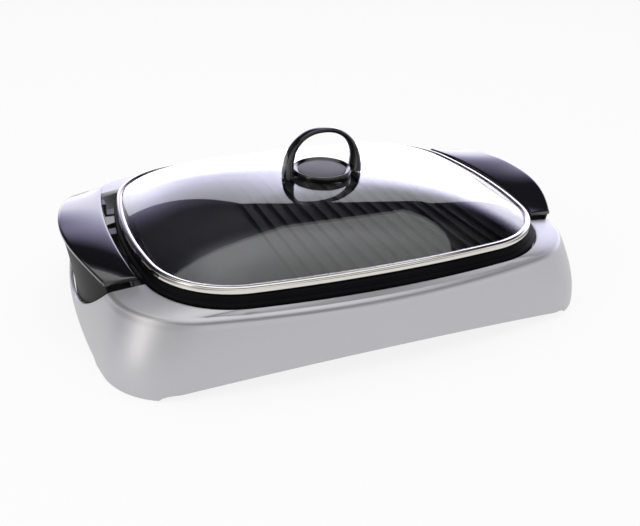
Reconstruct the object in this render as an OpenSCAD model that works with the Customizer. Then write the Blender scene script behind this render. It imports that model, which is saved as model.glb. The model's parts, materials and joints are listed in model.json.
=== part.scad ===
// Electric indoor grill: a silver base, a ridged plate with two side handles,
// a plug-in temperature control, a drip tray and a lift-off glass lid.
// Millimetres, +Z up, front towards -Y. The origin is on the table, at the middle of the base.

/* [Base] */
// Length of the base at the table
base_l = 543; // [530:1:546]
// Depth of the base at the table
base_d = 400; // [394:1:404]
// Length of the base at its top crease
crease_l = 510; // [506:1:512]
// Depth of the base at its top crease
crease_d = 387; // [380:1:400]
// Height of the top crease
crease_z = 73.5; // [68:0.5:76]
// Height of the deck round the plate opening
deck_z = 78.3; // [76:0.1:80]
// Thickness of the plastic shell
shell_t = 3; // [2:0.5:4]
// Height of the arch under the front and back edge, at its middle
arch_h = 21.5; // [12:0.5:24]
// Lowest point of the round recess under each handle
recess_z = 24; // [22:1:28]
// Half width of the recess at deck height
recess_w = 113.5; // [113:0.5:115]

/* [Plate] */
// Length of the plate opening in the deck
opening_l = 440; // [430:1:450]
// Depth of the plate opening in the deck
opening_d = 348; // [340:1:354]
// How far the plate and lid sit forward of the middle of the base
plate_shift = 11; // [6:1:14]
// Height of the cooking surface
cook_z = 70; // [69:0.5:72]
// Number of grill ridges
ridge_n = 17; // [8:1:17]
// Spacing of the ridges
ridge_pitch = 15.8; // [12:0.1:16]
// Place of the first ridge, where the flat hotplate ends
ridge_x0 = -72; // [-76:1:-60]

/* [Handles] */
// Length of each side handle, front to back
handle_len = 222; // [214:1:222]
// How far the handles sit behind the middle of the base
handle_y = 12; // [11:0.5:13]
// Furthest reach of the handle from the middle of the base
handle_reach = 273.8; // [272:0.1:276]
// Height of the handle's outer edge at its ends
handle_z = 80.9; // [80:0.1:82]
// Rise of the outer edge from its ends to its crown
handle_rise = 12.8; // [12:0.1:14]
// Thickness of the handle cover
handle_t = 4; // [4:0.5:5]

/* [Lid] */
// Length of the lid over its steel rim
lid_l = 430; // [426:1:432]
// Depth of the lid over its steel rim
lid_d = 326; // [322:1:328]
// Height of the top of the steel rim
rim_z = 94; // [93.5:0.5:98]
// Height of the steel rim itself
rim_h = 7.5; // [7:0.1:7.8]
// Height of the middle of the glass above the table
glass_top = 125; // [115:1:135]
// Thickness of the glass
glass_t = 4; // [3:0.5:5]

/* [Knob] */
// Width of the knob loop
loop_w = 88; // [86:1:94]
// Height of the knob loop above the glass
loop_h = 51.8; // [50:0.1:56]
// Thickness of the loop at its crown
loop_t = 5; // [4:0.5:6]
// Depth of the loop at its crown, front to back
loop_d = 11; // [10:1:14]
// Diameter of the dished knob base
dish_dia = 64; // [60:1:64]

/* [Control] */
// Width of the plug-in control
control_w = 54; // [48:1:56]
// Diameter of the control dial
dial_dia = 28; // [24:1:30]

/* [Hidden] */
$fn = 48;

// Shares of an outline: how far each side bows, and its corner radius, at a half length and depth
crease_form = [crease_l / 2, crease_d / 2, 10.5, 15.8, 89];
foot_form = [base_l / 2, base_d / 2, 10.5, 14.8, 75];
opening_form = [opening_l / 2, opening_d / 2, 7.3, 8, 91.7];
lid_form = [lid_l / 2, lid_d / 2, 6.3, 6, 90];
tray_form = [168, 128, 4, 4, 36];
reflector_form = [190, 148, 5, 5, 74];
cover_form = [250, 186, 8, 13, 70];
side_steps = 4;
arc_steps = 6;

// Base
lip_t = 2;
lip_z = 66;
foot_gap = 0.8;
foot_x = 219;
foot_y = 105;
edge_z = 7;
side_arch_h = 12;
recess_rise = 75 - recess_z;
recess_r = (recess_w * recess_w + recess_rise * recess_rise) / (2 * recess_rise);
recess_zc = recess_z + recess_r;
cover_z = 16;
cover_t = 2.5;
boss_pos = [222, 136];
pad_pos = [228, 118];
rest_x = 60;
rest_front = -179;
rest_back = 157;

// Plate
plate_y = -plate_shift;
floor_t = 5;
under_z = cook_z - floor_t;
flange_z = rim_z - rim_h - 0.3;
skirt_z = 70.3;
ridge_w = 3;
ridge_h = 3.5;
strap_ys = [-84, -35, 35, 86];
strap_w = 14;
strap_t = 2.5;
strap_leg = 14;
strap_hole = 9.4;
boss_in = 11;
drain_x = ridge_x0 + 4.5 * ridge_pitch;
drain_y = 104;
drain_half = 5;
drain_r = 3.5;

// Heating element, a round tube clipped under the plate
tube_r = 3.3;
tube_z = under_z - tube_r - 0.3;
loop_x = 170;
loop_y = 95;
bend_r = 40;
small_bend_r = 15;
leg_y = 11;
tube_end = 206;
clip_x = 80;

// Handles
crown_in = 10;
crown_out = 27.3;
handle_in = 217.2;
handle_out = handle_reach - crown_out;
handle_steps = 12;
handle_taper = 4;
skirt_half = handle_len / 2 - 5.5;
skirt_lap = 8;
skirt_t = 3;
skirt_gap = 1.1;

// Control
control_x = 228;
control_z0 = 40;
control_z1 = 74;
cap_x = 258;
dial_x = 262.4;
dial_z = 56;
probe_tip = 120;
door_half = 31;
door_z0 = 34;
door_z1 = 79;

// x of an outline's side, at a distance y from the outline's own middle
function side_x(f, y) =
    let(xc = f[0] - f[4] - f[2], yc = f[1] - f[4] - f[3], s = 2 * f[2] / yc, n = 1 / sqrt(1 + s * s),
        y1 = yc + f[4] * s * n, x1 = xc + f[4] * n)
    abs(y) < y1 ? f[0] - (f[0] - x1) * pow(y / y1, 2)
        : xc + sqrt(pow(f[4], 2) - pow(abs(y) - yc, 2));
function boss_x(y) = side_x(opening_form, y - plate_y) - boss_in;

// One quarter of a rectangle with bowed sides and round corners, from the x axis to the y axis
function unit(v) = v / norm(v);
function side_point(f, t) =
    let(yc = f[1] - f[4] - f[3], n = unit([1, 2 * f[2] * t / yc]))
    [f[0] - f[4] - f[2] * t * t, yc * t] + f[4] * n;
function front_point(f, t) =
    let(xc = f[0] - f[4] - f[2], n = unit([2 * f[3] * t / xc, 1]))
    [xc * t, f[1] - f[4] - f[3] * t * t] + f[4] * n;
function corner_point(f, t) =
    let(xc = f[0] - f[4] - f[2], yc = f[1] - f[4] - f[3],
        a1 = atan2(2 * f[2] / yc, 1), a2 = atan2(1, 2 * f[3] / xc), a = a1 + (a2 - a1) * t)
    [xc, yc] + f[4] * [cos(a), sin(a)];
function quarter(f) = concat(
    [for (i = [0:side_steps]) side_point(f, i / side_steps)],
    [for (i = [1:arc_steps - 1]) corner_point(f, i / arc_steps)],
    [for (i = [side_steps:-1:0]) front_point(f, i / side_steps)]);
function flip(q, sx, sy) = [for (p = q) [p[0] * sx, p[1] * sy]];
function back(q) = [for (i = [len(q) - 2:-1:1]) q[i]];
function outline(f) =
    let(q = quarter(f), n = len(q))
    concat(q, back(flip(q, -1, 1)), [q[0] * -1], [for (i = [1:n - 1]) q[i] * -1],
        back(flip(q, 1, -1)));
function inset(f, d) = [f[0] - d, f[1] - d, f[2], f[3], f[4] - d];
function scaled(f, s) = [for (v = f) v * s];
function blend(f, g, t) = [for (i = [0:4]) f[i] + (g[i] - f[i]) * t];
// A ring of points: an outline at height z, moved by dy
function ring(f, z, dy = 0) = [for (p = outline(f)) [p[0], p[1] + dy, z]];

// A solid skinned over rings. A closed one joins its last ring to its first, and a
// twisted one needs its four-sided faces split.
module skin(rings, closed = false, split = false) {
    n = len(rings[0]);
    m = len(rings);
    last = closed ? m - 1 : m - 2;
    sides = [for (j = [0:last]) for (i = [0:n - 1])
        let(k = (j + 1) % m, i2 = (i + 1) % n, a = j * n + i, b = k * n + i, c = k * n + i2, d = j * n + i2)
        each split ? [[a, b, c], [a, c, d]] : [[a, b, c, d]]];
    caps = closed ? [] : [[for (i = [0:n - 1]) i], [for (i = [n - 1:-1:0]) (m - 1) * n + i]];
    polyhedron(points = [for (r = rings) for (p = r) p], faces = concat(sides, caps), convexity = 8);
}

module slab(f, z, t, dy = 0) {
    translate([0, dy, z])
        linear_extrude(t)
            polygon(outline(f));
}

// A box given by its lowest and highest corners
module block(a, b) {
    translate(a)
        cube(b - a);
}

// A cylinder along X from x1 to x2, its seam on top
module rod(x1, x2, y, z, r) {
    translate([x1, y, z])
        rotate([0, 90, 0])
            rotate([0, 0, 180])
                cylinder(h = x2 - x1, r = r);
}

// A pan-head screw standing head down, its head's top face at z
module screw(x, y, z, head_r, head_h, shank_r, shank_h) {
    translate([x, y, z - head_h])
        cylinder(h = head_h, r = head_r);
    translate([x, y, z - 0.01])
        cylinder(h = shank_h, r = shank_r);
}

module both_sides() {
    children();
    mirror([1, 0, 0])
        children();
}

module four_corners(p) {
    for (sx = [-1, 1], sy = [-1, 1])
        translate([sx * p[0], sy * p[1], 0])
            children();
}

// ---- Base ----

// Outline of the outer wall, from the crease (t = 0) to the table (t = 1)
function wall_form(t) = blend(crease_form, foot_form, sin(90 * t));
function wall_ring(z, d) = ring(inset(wall_form(1 - z / crease_z), d), z);
wall_zs = [foot_gap, 12, 24, 36, 48, 60, 70];

module shell_skin() {
    outer = [for (z = wall_zs) wall_ring(z, 0)];
    inner = [for (i = [len(wall_zs) - 1:-1:0]) wall_ring(min(wall_zs[i], 69), shell_t)];
    deck = [ring(inset(crease_form, 0.1), crease_z - 1),
        ring(inset(crease_form, 1.3), crease_z),
        ring(inset(opening_form, -1), deck_z, plate_y),
        ring(opening_form, deck_z - 0.8, plate_y),
        ring(opening_form, lip_z, plate_y),
        ring(inset(opening_form, -lip_t), lip_z, plate_y),
        ring(inset(opening_form, -lip_t), deck_z - shell_t, plate_y)];
    skin(concat(outer, deck, inner), closed = true);
}

// What the arch under a wall takes away: a low bow over a straight step
module arch_cut(half, top, reach) {
    steps = 12;
    bow = [for (i = [-steps:steps]) [half * i / steps,
        edge_z + (top - edge_z) * (1 - pow(i / steps, 2))]];
    rotate([90, 0, 0])
        linear_extrude(2 * reach, center = true)
            polygon(concat([[-half, -1]], bow, [[half, -1]]));
}

module recess_cut(r) {
    both_sides()
        rod(190, 310, handle_y, recess_zc, r);
}

module base_shell() {
    color([0.76, 0.77, 0.79])
        difference() {
            union() {
                shell_skin();
                four_corners(boss_pos)
                    translate([0, 0, cover_z + cover_t + 0.1])
                        cylinder(h = 55, r = 4.5);
            }
            recess_cut(recess_r);
            arch_cut(foot_x, arch_h, base_d);
            rotate([0, 0, 90])
                arch_cut(foot_y, side_arch_h, base_l);
            four_corners(boss_pos)
                cylinder(h = 36, r = 2.1);
        }
}

module bottom_cover() {
    color([0.13, 0.13, 0.14])
        difference() {
            union() {
                slab(cover_form, cover_z, cover_t);
                four_corners(pad_pos)
                    translate([0, 0, 5])
                        cylinder(h = cover_z - 4.9, r = 12);
            }
            four_corners(boss_pos)
                cylinder(h = 40, r = 2.2);
            four_corners(pad_pos)
                cylinder(h = 12.2, r = 3.1);
            for (x = [-rest_x, rest_x], y = [rest_front + 9, rest_back - 9])
                translate([x, y, 0])
                    cylinder(h = 40, r = 1.7);
        }
}

module rubber_feet() {
    color([0.08, 0.08, 0.08])
        four_corners(pad_pos) {
            cylinder(h = 4.9, r = 11);
            cylinder(h = 12, r = 3);
        }
}

module cover_screws() {
    color([0.6, 0.6, 0.62])
        four_corners(boss_pos)
            screw(0, 0, cover_z - 0.05, 4, 2.6, 2, 18);
}

module heat_reflector() {
    z = cover_z + cover_t + 0.1;
    color([0.55, 0.55, 0.56])
        skin([ring(inset(reflector_form, 8), z, plate_y),
            ring(inset(reflector_form, 6), z, plate_y),
            ring(reflector_form, z + 26, plate_y),
            ring(inset(reflector_form, -4), z + 26, plate_y),
            ring(inset(reflector_form, -4), z + 27, plate_y),
            ring(inset(reflector_form, 0.8), z + 27, plate_y),
            ring(inset(reflector_form, 7.2), z + 0.8, plate_y)]);
}

// Four angle posts that carry the rim of the plate
module plate_rest(y, into) {
    z = cover_z + cover_t + 0.1;
    block([-12, y - 1.5, z], [12, y + 1.5, skirt_z - 0.2]);
    difference() {
        block([-12, min(y, y + into * 14), z], [12, max(y, y + into * 14), z + 2]);
        translate([0, y + into * 9, 0])
            cylinder(h = 40, r = 1.7);
    }
}

module plate_rests() {
    color([0.5, 0.5, 0.52])
        for (x = [-rest_x, rest_x])
            translate([x, 0, 0]) {
                plate_rest(rest_front, 1);
                plate_rest(rest_back, -1);
            }
}

module rest_screws() {
    color([0.62, 0.62, 0.64])
        for (x = [-rest_x, rest_x], y = [rest_front + 9, rest_back - 9])
            screw(x, y, cover_z - 0.05, 3, 1.8, 1.6, 5.4);
}

module drip_tray() {
    z = cover_z + cover_t + 1.3;
    color([0.2, 0.2, 0.21])
        skin([ring(inset(tray_form, 12), z, plate_y),
            ring(inset(tray_form, 9), z + 1, plate_y),
            ring(inset(tray_form, 2), z + 17, plate_y),
            ring(inset(tray_form, -3), z + 17, plate_y),
            ring(inset(tray_form, -3), z + 18.6, plate_y),
            ring(inset(tray_form, 3.4), z + 18.6, plate_y),
            ring(inset(tray_form, 10.4), z + 2.6, plate_y),
            ring(inset(tray_form, 13), z + 1.6, plate_y)]);
}

// ---- Plate ----

function plate_ring(d, z) = ring(inset(opening_form, d), z, plate_y);

module plate_body() {
    skin([plate_ring(26, under_z), plate_ring(22, under_z + 1), plate_ring(12.5, 79.3),
        plate_ring(5.4, 79.3), plate_ring(5.4, skirt_z), plate_ring(2.2, skirt_z),
        plate_ring(1.2, 78.6), plate_ring(2, 80.4), plate_ring(5.2, 81.4),
        plate_ring(6.2, flange_z - 0.5), plate_ring(6.8, flange_z), plate_ring(14, flange_z),
        plate_ring(15.6, flange_z - 1), plate_ring(24, cook_z + 1.6), plate_ring(27.5, cook_z)]);
}

module ridges() {
    intersection() {
        slab(inset(opening_form, 31), cook_z - 0.5, ridge_h + 0.5, plate_y);
        for (i = [0:ridge_n - 1])
            translate([ridge_x0 + i * ridge_pitch - ridge_w / 2, -200, cook_z - 0.5])
                cube([ridge_w, 400, ridge_h + 1]);
    }
}

module strap_bosses() {
    both_sides()
        for (y = strap_ys)
            translate([boss_x(y), y, skirt_z - 1])
                cylinder(h = 11, r = 4.6);
}

module clip_holes(r, h) {
    for (x = [-clip_x, clip_x], s = [-1, 1], dy = [-8, 8])
        translate([x, plate_y + s * loop_y + dy, under_z - 0.1])
            cylinder(h = h, r = r);
}

module grill_plate() {
    color([0.09, 0.09, 0.1])
        difference() {
            union() {
                plate_body();
                ridges();
                strap_bosses();
            }
            both_sides()
                for (y = strap_ys)
                    translate([boss_x(y), y, skirt_z - 2])
                        cylinder(h = 10, r = 1.9);
            clip_holes(1.5, 3.7);
            // Drain slot over the drip tray
            translate([drain_x, drain_y, cook_z - 10]) {
                for (y = [-drain_half, drain_half])
                    translate([0, y, 0])
                        cylinder(h = 20, r = drain_r);
                block([-drain_r, -drain_half, 0], [drain_r, drain_half, 20]);
            }
        }
}

// A quarter bend of the tube: centre, start angle
module bend(x, y, r, a) {
    translate([x, y, tube_z])
        rotate([0, 0, a])
            rotate_extrude(angle = 90)
                translate([r, 0])
                    circle(r = tube_r);
}

module run_x(x1, x2, y) {
    rod(x1, x2, y, tube_z, tube_r);
}

module run_y(y1, y2, x) {
    translate([x, y1, tube_z])
        rotate([-90, 0, 0])
            cylinder(h = y2 - y1, r = tube_r);
}

module heating_element() {
    y1 = plate_y - loop_y;
    y2 = plate_y + loop_y;
    xb = loop_x - bend_r;
    color([0.33, 0.32, 0.31]) {
        run_x(-xb, xb, y1);
        run_x(-xb, xb, y2);
        run_y(y1 + bend_r, y2 - bend_r, -loop_x);
        bend(-xb, y2 - bend_r, bend_r, 90);
        bend(-xb, y1 + bend_r, bend_r, 180);
        bend(xb, y1 + bend_r, bend_r, 270);
        bend(xb, y2 - bend_r, bend_r, 0);
        run_y(y1 + bend_r, -leg_y - small_bend_r, loop_x);
        run_y(leg_y + small_bend_r, y2 - bend_r, loop_x);
        bend(loop_x + small_bend_r, -leg_y - small_bend_r, small_bend_r, 90);
        bend(loop_x + small_bend_r, leg_y + small_bend_r, small_bend_r, 180);
        run_x(loop_x + small_bend_r, tube_end, -leg_y);
        run_x(loop_x + small_bend_r, tube_end, leg_y);
    }
}

module element_clip() {
    w = tube_r + 0.3;
    t = 1.5;
    translate([-5, 0, 0])
        rotate([90, 0, 90])
            linear_extrude(10)
                difference() {
                    union() {
                        translate([-w - t, tube_z - w - t])
                            square([2 * (w + t), w + t + 3.2]);
                        translate([-12, under_z - 1.7])
                            square([24, 1.6]);
                    }
                    translate([-w, tube_z - w])
                        square([2 * w, 10]);
                }
}

module element_clips() {
    color([0.62, 0.62, 0.63])
        for (x = [-clip_x, clip_x], s = [-1, 1])
            translate([x, plate_y + s * loop_y, 0])
                difference() {
                    element_clip();
                    for (dy = [-8, 8])
                        translate([0, dy, under_z - 5])
                            cylinder(h = 6, r = 1.6);
                }
}

module clip_screws() {
    color([0.66, 0.66, 0.67])
        for (x = [-clip_x, clip_x], s = [-1, 1], dy = [-8, 8])
            screw(x, plate_y + s * loop_y + dy, under_z - 1.75, 2.6, 1.8, 1.4, 5.2);
}

module terminal_beads() {
    color([0.93, 0.92, 0.88])
        for (y = [-leg_y, leg_y])
            difference() {
                rod(tube_end + 0.1, tube_end + 4, y, tube_z, 4);
                rod(tube_end, tube_end + 5, y, tube_z, 2.5);
            }
}

module terminal_pins() {
    color([0.78, 0.77, 0.74])
        for (y = [-leg_y, leg_y])
            rod(tube_end + 0.1, 224, y, tube_z, 2.4);
}

module socket_shroud() {
    z0 = tube_z - 8.5;
    z1 = tube_z + 5.2;
    color([0.7, 0.7, 0.71])
        difference() {
            union() {
                block([211, -18.5, z0], [228, 18.5, skirt_z - 0.3]);
                block([203, -42, z1 - 2.2], [213, 42, z1]);
            }
            block([212.5, -17.2, z0 + 1.3], [230, 17.2, skirt_z - 1.8]);
            for (y = [-leg_y, leg_y])
                rod(190, 216, y, tube_z, 4.4);
            rod(190, 216, 0, tube_z, 3.6);
            for (y = [-35, 35])
                translate([boss_x(y), y, z1 - 5])
                    cylinder(h = 8, r = 2);
            block([200, -17.2, z0], [211, 17.2, z1 + 1]);
        }
}

module probe_sleeve() {
    color([0.75, 0.75, 0.76])
        difference() {
            rod(124, 208, 0, tube_z, 3.4);
            rod(123, 209, 0, tube_z, 2.8);
        }
}

// ---- Handles ----

// Half width in x and height of the handle's edges at station u, from -1 at the front to 1
function edge_in(u) = [handle_in + crown_in * (1 - u * u), handle_z + 3.1 + 4.4 * (1 - u * u)];
function edge_out(u) = [handle_out + crown_out * (1 - u * u), handle_z + handle_rise * (1 - pow(abs(u), 3))];
function crown_point(u, t) =
    let(p = edge_in(u) + (edge_out(u) - edge_in(u)) * t)
    [p[0], p[1] + 1.5 * t * (1 - t)];
// Distance from the handle's middle, front to back: the outer edge is the shorter one
function cover_y(u, t) = handle_y + u * (handle_len / 2 - handle_taper * t);
// Station of the outer edge at y
function outer_station(y) = (y - handle_y) / (handle_len / 2 - handle_taper);
// Height just under the cover at station u, at a distance x from the middle of the grill
function cover_low(u, x) =
    let(a = edge_in(u)[0], b = edge_out(u)[0])
    crown_point(u, max(0, x - a) / (b - a))[1] - handle_t - 0.2;
// Section of the cover, wound as skin() needs it along +Y
function cover_section(u) =
    concat([for (i = [0:6]) let(p = crown_point(u, i / 6)) [p[0], cover_y(u, i / 6), p[1]]],
        [for (i = [6:-1:0]) let(p = crown_point(u, i / 6)) [p[0], cover_y(u, i / 6), p[1] - handle_t]]);

module handle_cover() {
    stations = [for (i = [-handle_steps:handle_steps]) i / handle_steps];
    difference() {
        union() {
            skin([for (u = stations) cover_section(u)], split = true);
            for (y = strap_ys)
                translate([strap_x(y) + strap_hole, y, strap_top(y) + 0.2])
                    cylinder(h = 3.4, r = 4);
        }
        for (y = strap_ys)
            translate([strap_x(y) + strap_hole, y, strap_top(y) - 3])
                cylinder(h = 6.3, r = 1.7);
    }
}

module handle_cover_right() {
    color([0.06, 0.06, 0.07])
        handle_cover();
}

module handle_cover_left() {
    color([0.06, 0.06, 0.07])
        mirror([1, 0, 0])
            handle_cover();
}

// Height of the round edge of the recess, or of an arc d further out
function recess_low(y, d = 0) = recess_zc - sqrt(pow(recess_r + d, 2) - pow(y - handle_y, 2));
// Section of the skirt at y: it hangs from a ledge under the cover and laps behind the wall
function skirt_section(y) =
    let(u = outer_station(y), x = edge_out(u)[0] - 1.5, in_x = x - 11,
        top = cover_low(u, x), in_z = cover_low(u, in_x),
        edge = recess_low(y), low = recess_low(y, skirt_lap), bend_z = (edge + top) / 2,
        foot = side_x(wall_form(1 - edge / crease_z), y) - shell_t - skirt_gap,
        mid = foot + 0.35 * (x - foot))
    [[foot - skirt_t, y, low], [foot - skirt_t, y, edge + 1.5], [mid - skirt_t, y, bend_z],
        [x - skirt_t, y, top - 2.5], [in_x, y, in_z - 2.5], [in_x, y, in_z], [x, y, top],
        [mid, y, bend_z], [foot, y, edge + 1.5], [foot, y, low]];

module handle_skirt() {
    skin([for (i = [-handle_steps:handle_steps])
        skirt_section(handle_y + skirt_half * i / handle_steps)], split = true);
}

module handle_skirt_left() {
    color([0.16, 0.16, 0.17])
        mirror([1, 0, 0])
            handle_skirt();
}

module handle_skirt_right() {
    color([0.16, 0.16, 0.17])
        difference() {
            handle_skirt();
            block([200, -door_half, door_z0], [300, door_half, door_z1]);
        }
}

// Where a strap rises: the middle ones wholly under the cover, the end ones in the gap beside it
function strap_x(y) = abs(y) < 60 ? handle_in + 11.8 : handle_in + 1.8;
// Top of a strap, just under the cover along all of its upper leg
function strap_top(y) =
    let(u = outer_station(handle_y + abs(y - handle_y) + strap_w / 2))
    min(cover_low(u, strap_x(y)), cover_low(u, strap_x(y) + strap_leg));

module handle_strap(y) {
    foot_z = skirt_z - 1.1;
    x = strap_x(y);
    difference() {
        union() {
            block([boss_x(y) - 6, y - strap_w / 2, foot_z - strap_t], [x + 2.4, y + strap_w / 2, foot_z]);
            block([x, y - strap_w / 2, foot_z - strap_t], [x + 2.4, y + strap_w / 2, strap_top(y)]);
            block([x, y - strap_w / 2, strap_top(y) - strap_t], [x + strap_leg, y + strap_w / 2, strap_top(y)]);
        }
        translate([boss_x(y), y, foot_z - 10])
            cylinder(h = 20, r = 2);
        translate([x + strap_hole, y, strap_top(y) - 10])
            cylinder(h = 20, r = 1.8);
    }
}

module handle_brackets() {
    for (y = strap_ys)
        handle_strap(y);
}

module handle_brackets_left() {
    color([0.74, 0.74, 0.75])
        mirror([1, 0, 0])
            handle_brackets();
}

module handle_brackets_right() {
    color([0.74, 0.74, 0.75])
        handle_brackets();
}

module bracket_screws() {
    foot_z = skirt_z - 1.1 - strap_t - 0.05;
    color([0.68, 0.68, 0.7]) {
        for (y = strap_ys) {
            low = abs(y) < 40 ? 2.3 : 0;
            screw(boss_x(y), y, foot_z - low, 3.4, 2.2, 1.8, 10 + low);
            screw(-boss_x(y), y, foot_z, 3.4, 2.2, 1.8, 10);
        }
    }
}

module handle_screws() {
    color([0.68, 0.68, 0.7])
        both_sides()
            for (y = strap_ys)
                screw(strap_x(y) + strap_hole, y, strap_top(y) - strap_t - 0.05, 3.2, 2, 1.6, 5.6);
}

// ---- Lid ----

function rim_ring(d, z) = ring(inset(lid_form, d), z, plate_y);

module lid_rim() {
    z0 = rim_z - rim_h;
    color([0.82, 0.81, 0.79])
        skin([rim_ring(0.4, z0), rim_ring(0, z0 + 0.6), rim_ring(0, rim_z - 1.2),
            rim_ring(1, rim_z), rim_ring(5.5, rim_z), rim_ring(5.5, rim_z - 0.8),
            rim_ring(0.9, rim_z - 0.8), rim_ring(0.9, z0 + 0.8), rim_ring(5.5, z0 + 0.8),
            rim_ring(5.5, z0)], closed = true);
}

// Dome rings: share s of the clear glass, from 1 at the rim to almost 0 in the middle.
// The dome is flat on top and steep at its shoulder.
dome_form = inset(lid_form, 6.2);
glass_edge_z = rim_z - 1.1;
function dome_z(s) = glass_edge_z + (glass_top - glass_edge_z) * (1 - pow(s, 3));
function dome_ring(s, dz) = ring(scaled(dome_form, s), dome_z(s) + dz, plate_y);
dome_shares = [0.04, 0.25, 0.42, 0.58, 0.72, 0.84, 0.92, 0.97, 1];

module lid_glass() {
    n = len(dome_shares);
    color([0.8, 0.88, 0.9, 0.35])
        difference() {
            skin(concat([for (s = dome_shares) dome_ring(s, -glass_t)],
                [rim_ring(1.5, glass_edge_z - glass_t), rim_ring(1.5, glass_edge_z)],
                [for (i = [n - 1:-1:0]) dome_ring(dome_shares[i], 0)]));
            translate([0, plate_y, glass_top - 20])
                cylinder(h = 30, r = 3);
        }
}

bar_z = glass_top + 1;
bar_t = 2.2;
loop_swell = 7;
dish_z = bar_z + bar_t + 0.1;
dish_h = 4.2;
dish_low = glass_top + 0.4 - dish_z;

module knob_seal() {
    color([0.2, 0.2, 0.2])
        translate([0, plate_y, glass_top + 0.05])
            difference() {
                cylinder(h = 0.9, r = 11);
                translate([0, 0, -1])
                    cylinder(h = 4, r = 3);
            }
}

// Outer edge of the loop at angle a, from its right foot over the top to its left foot
function arch_point(a) =
    [loop_w / 2 * sign(cos(a)) * pow(abs(cos(a)), 0.9), (loop_h - 1) * sign(sin(a)) * pow(abs(sin(a)), 0.9)];
// Section across the loop, which swells towards its feet
function loop_section(a) =
    let(p = arch_point(a), d = arch_point(a + 1) - arch_point(a - 1), n = unit([-d[1], d[0]]),
        swell = loop_swell * pow(max(0, 1 - p[1] / (loop_h - 1)), 1.5),
        t = loop_t + swell, h = (loop_d + swell) / 2, c = 1.4)
    [for (q = [[0, c - h], [0, h - c], [c, h], [t - c, h], [t, h - c], [t, c - h], [t - c, -h], [c, -h]])
        [p[0] + n[0] * q[0], q[1], p[1] + n[1] * q[0]]];

module knob_loop() {
    color([0.05, 0.05, 0.06])
        translate([0, plate_y, bar_z]) {
            skin([for (i = [0:36]) loop_section(5 * i)]);
            difference() {
                block([-loop_w / 2 + 5, -8, 0], [loop_w / 2 - 5, 8, bar_t]);
                translate([0, 0, -1])
                    cylinder(h = 8, r = 2.6);
            }
        }
}

module knob_base() {
    r = dish_dia / 2;
    color([0.05, 0.05, 0.06])
        translate([0, plate_y, dish_z])
            difference() {
                rotate_extrude($fn = 96)
                    polygon([[0, 0], [r - 4.4, 0], [r - 3, -1.2], [r - 3, dish_low], [r - 0.4, dish_low],
                        [r, dish_low + 0.4], [r, 2.8], [r - 0.4, 3.8], [r - 1.4, dish_h], [r - 3, 3.9],
                        [r - 5.2, 1.9], [7, 1.9], [7, 2.6], [0, 2.6]]);
                translate([0, 0, -1])
                    cylinder(h = 2.9, r = 2.5);
                block([-r - 1, -8.3, dish_low - 1], [r + 1, 8.3, 0]);
            }
}

module knob_cap() {
    r = dish_dia / 2 - 5.6;
    color([0.2, 0.2, 0.21])
        translate([0, plate_y, dish_z + 1.95])
            rotate_extrude($fn = 96)
                polygon([[0, 0.75], [7.4, 0.75], [7.4, 0], [r, 0], [r, 0.3], [r - 1, 0.6],
                    [r * 0.5, 1.1], [0, 1.4]]);
}

module knob_washer() {
    color([0.7, 0.7, 0.72])
        translate([0, plate_y, glass_top - glass_t - 1.1])
            difference() {
                cylinder(h = 1, r = 8);
                translate([0, 0, -1])
                    cylinder(h = 4, r = 2.6);
            }
}

module knob_screw() {
    color([0.7, 0.7, 0.72])
        screw(0, plate_y, glass_top - glass_t - 1.2, 5, 2.8, 2.4, 10.2);
}

// ---- Plug-in control ----

module control_housing() {
    w = control_w / 2;
    color([0.08, 0.08, 0.09])
        difference() {
            union() {
                block([control_x, -w, control_z0], [cap_x, w, control_z1]);
                block([213.4, -16.4, tube_z - 6.6], [control_x + 1, 16.4, tube_z + 6.2]);
            }
            block([control_x + 2, -w + 2, control_z0 + 2], [cap_x + 1, w - 2, control_z1 - 2]);
            for (y = [-leg_y, leg_y])
                rod(210, 240, y, tube_z, 3.5);
            rod(210, 240, 0, tube_z, 2.45);
            translate([243, w - 3, 49])
                rotate([-90, 0, 0])
                    cylinder(h = 6, r = 4.6);
        }
}

module control_end_cap() {
    w = control_w / 2;
    color([0.08, 0.08, 0.09])
        difference() {
            union() {
                block([cap_x + 0.1, -w, control_z0], [cap_x + 3.9, w, control_z1]);
                block([cap_x - 2, -w + 2.2, control_z0 + 2.2], [cap_x + 1, w - 2.2, control_z1 - 2.2]);
            }
            block([cap_x - 3, -w + 4, control_z0 + 4], [cap_x + 0.1, w - 4, control_z1 - 4]);
            rod(cap_x - 5, cap_x + 6, 0, dial_z, 3.3);
            rod(cap_x - 5, cap_x + 6, 20, 66, 2.7);
        }
}

module control_probe() {
    color([0.8, 0.8, 0.8]) {
        rod(probe_tip + 2.3, 238, 0, tube_z, 2.3);
        translate([probe_tip + 2.3, 0, tube_z])
            sphere(r = 2.3);
    }
}

module contact_sleeves() {
    color([0.8, 0.68, 0.35])
        for (y = [-leg_y, leg_y])
            difference() {
                rod(214, 238, y, tube_z, 3.4);
                rod(213, 226, y, tube_z, 2.7);
            }
}

module thermostat_switch() {
    color([0.85, 0.83, 0.76])
        difference() {
            block([238.2, -15, 46], [250, 15, 68]);
            rod(243, 252, 0, dial_z, 3.06);
        }
}

module indicator_lens() {
    color([0.8, 0.15, 0.08])
        rod(cap_x - 1, cap_x + 5, 20, 66, 2.6);
}

module cord_gland() {
    w = control_w / 2;
    color([0.1, 0.1, 0.1])
        translate([243, w - 2.5, 49])
            rotate([-90, 0, 0])
                difference() {
                    union() {
                        cylinder(h = 3, r = 4.5);
                        translate([0, 0, 2.6])
                            cylinder(h = 3, r = 6);
                    }
                    translate([0, 0, -1])
                        cylinder(h = 10, r = 3.2);
                }
}

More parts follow.
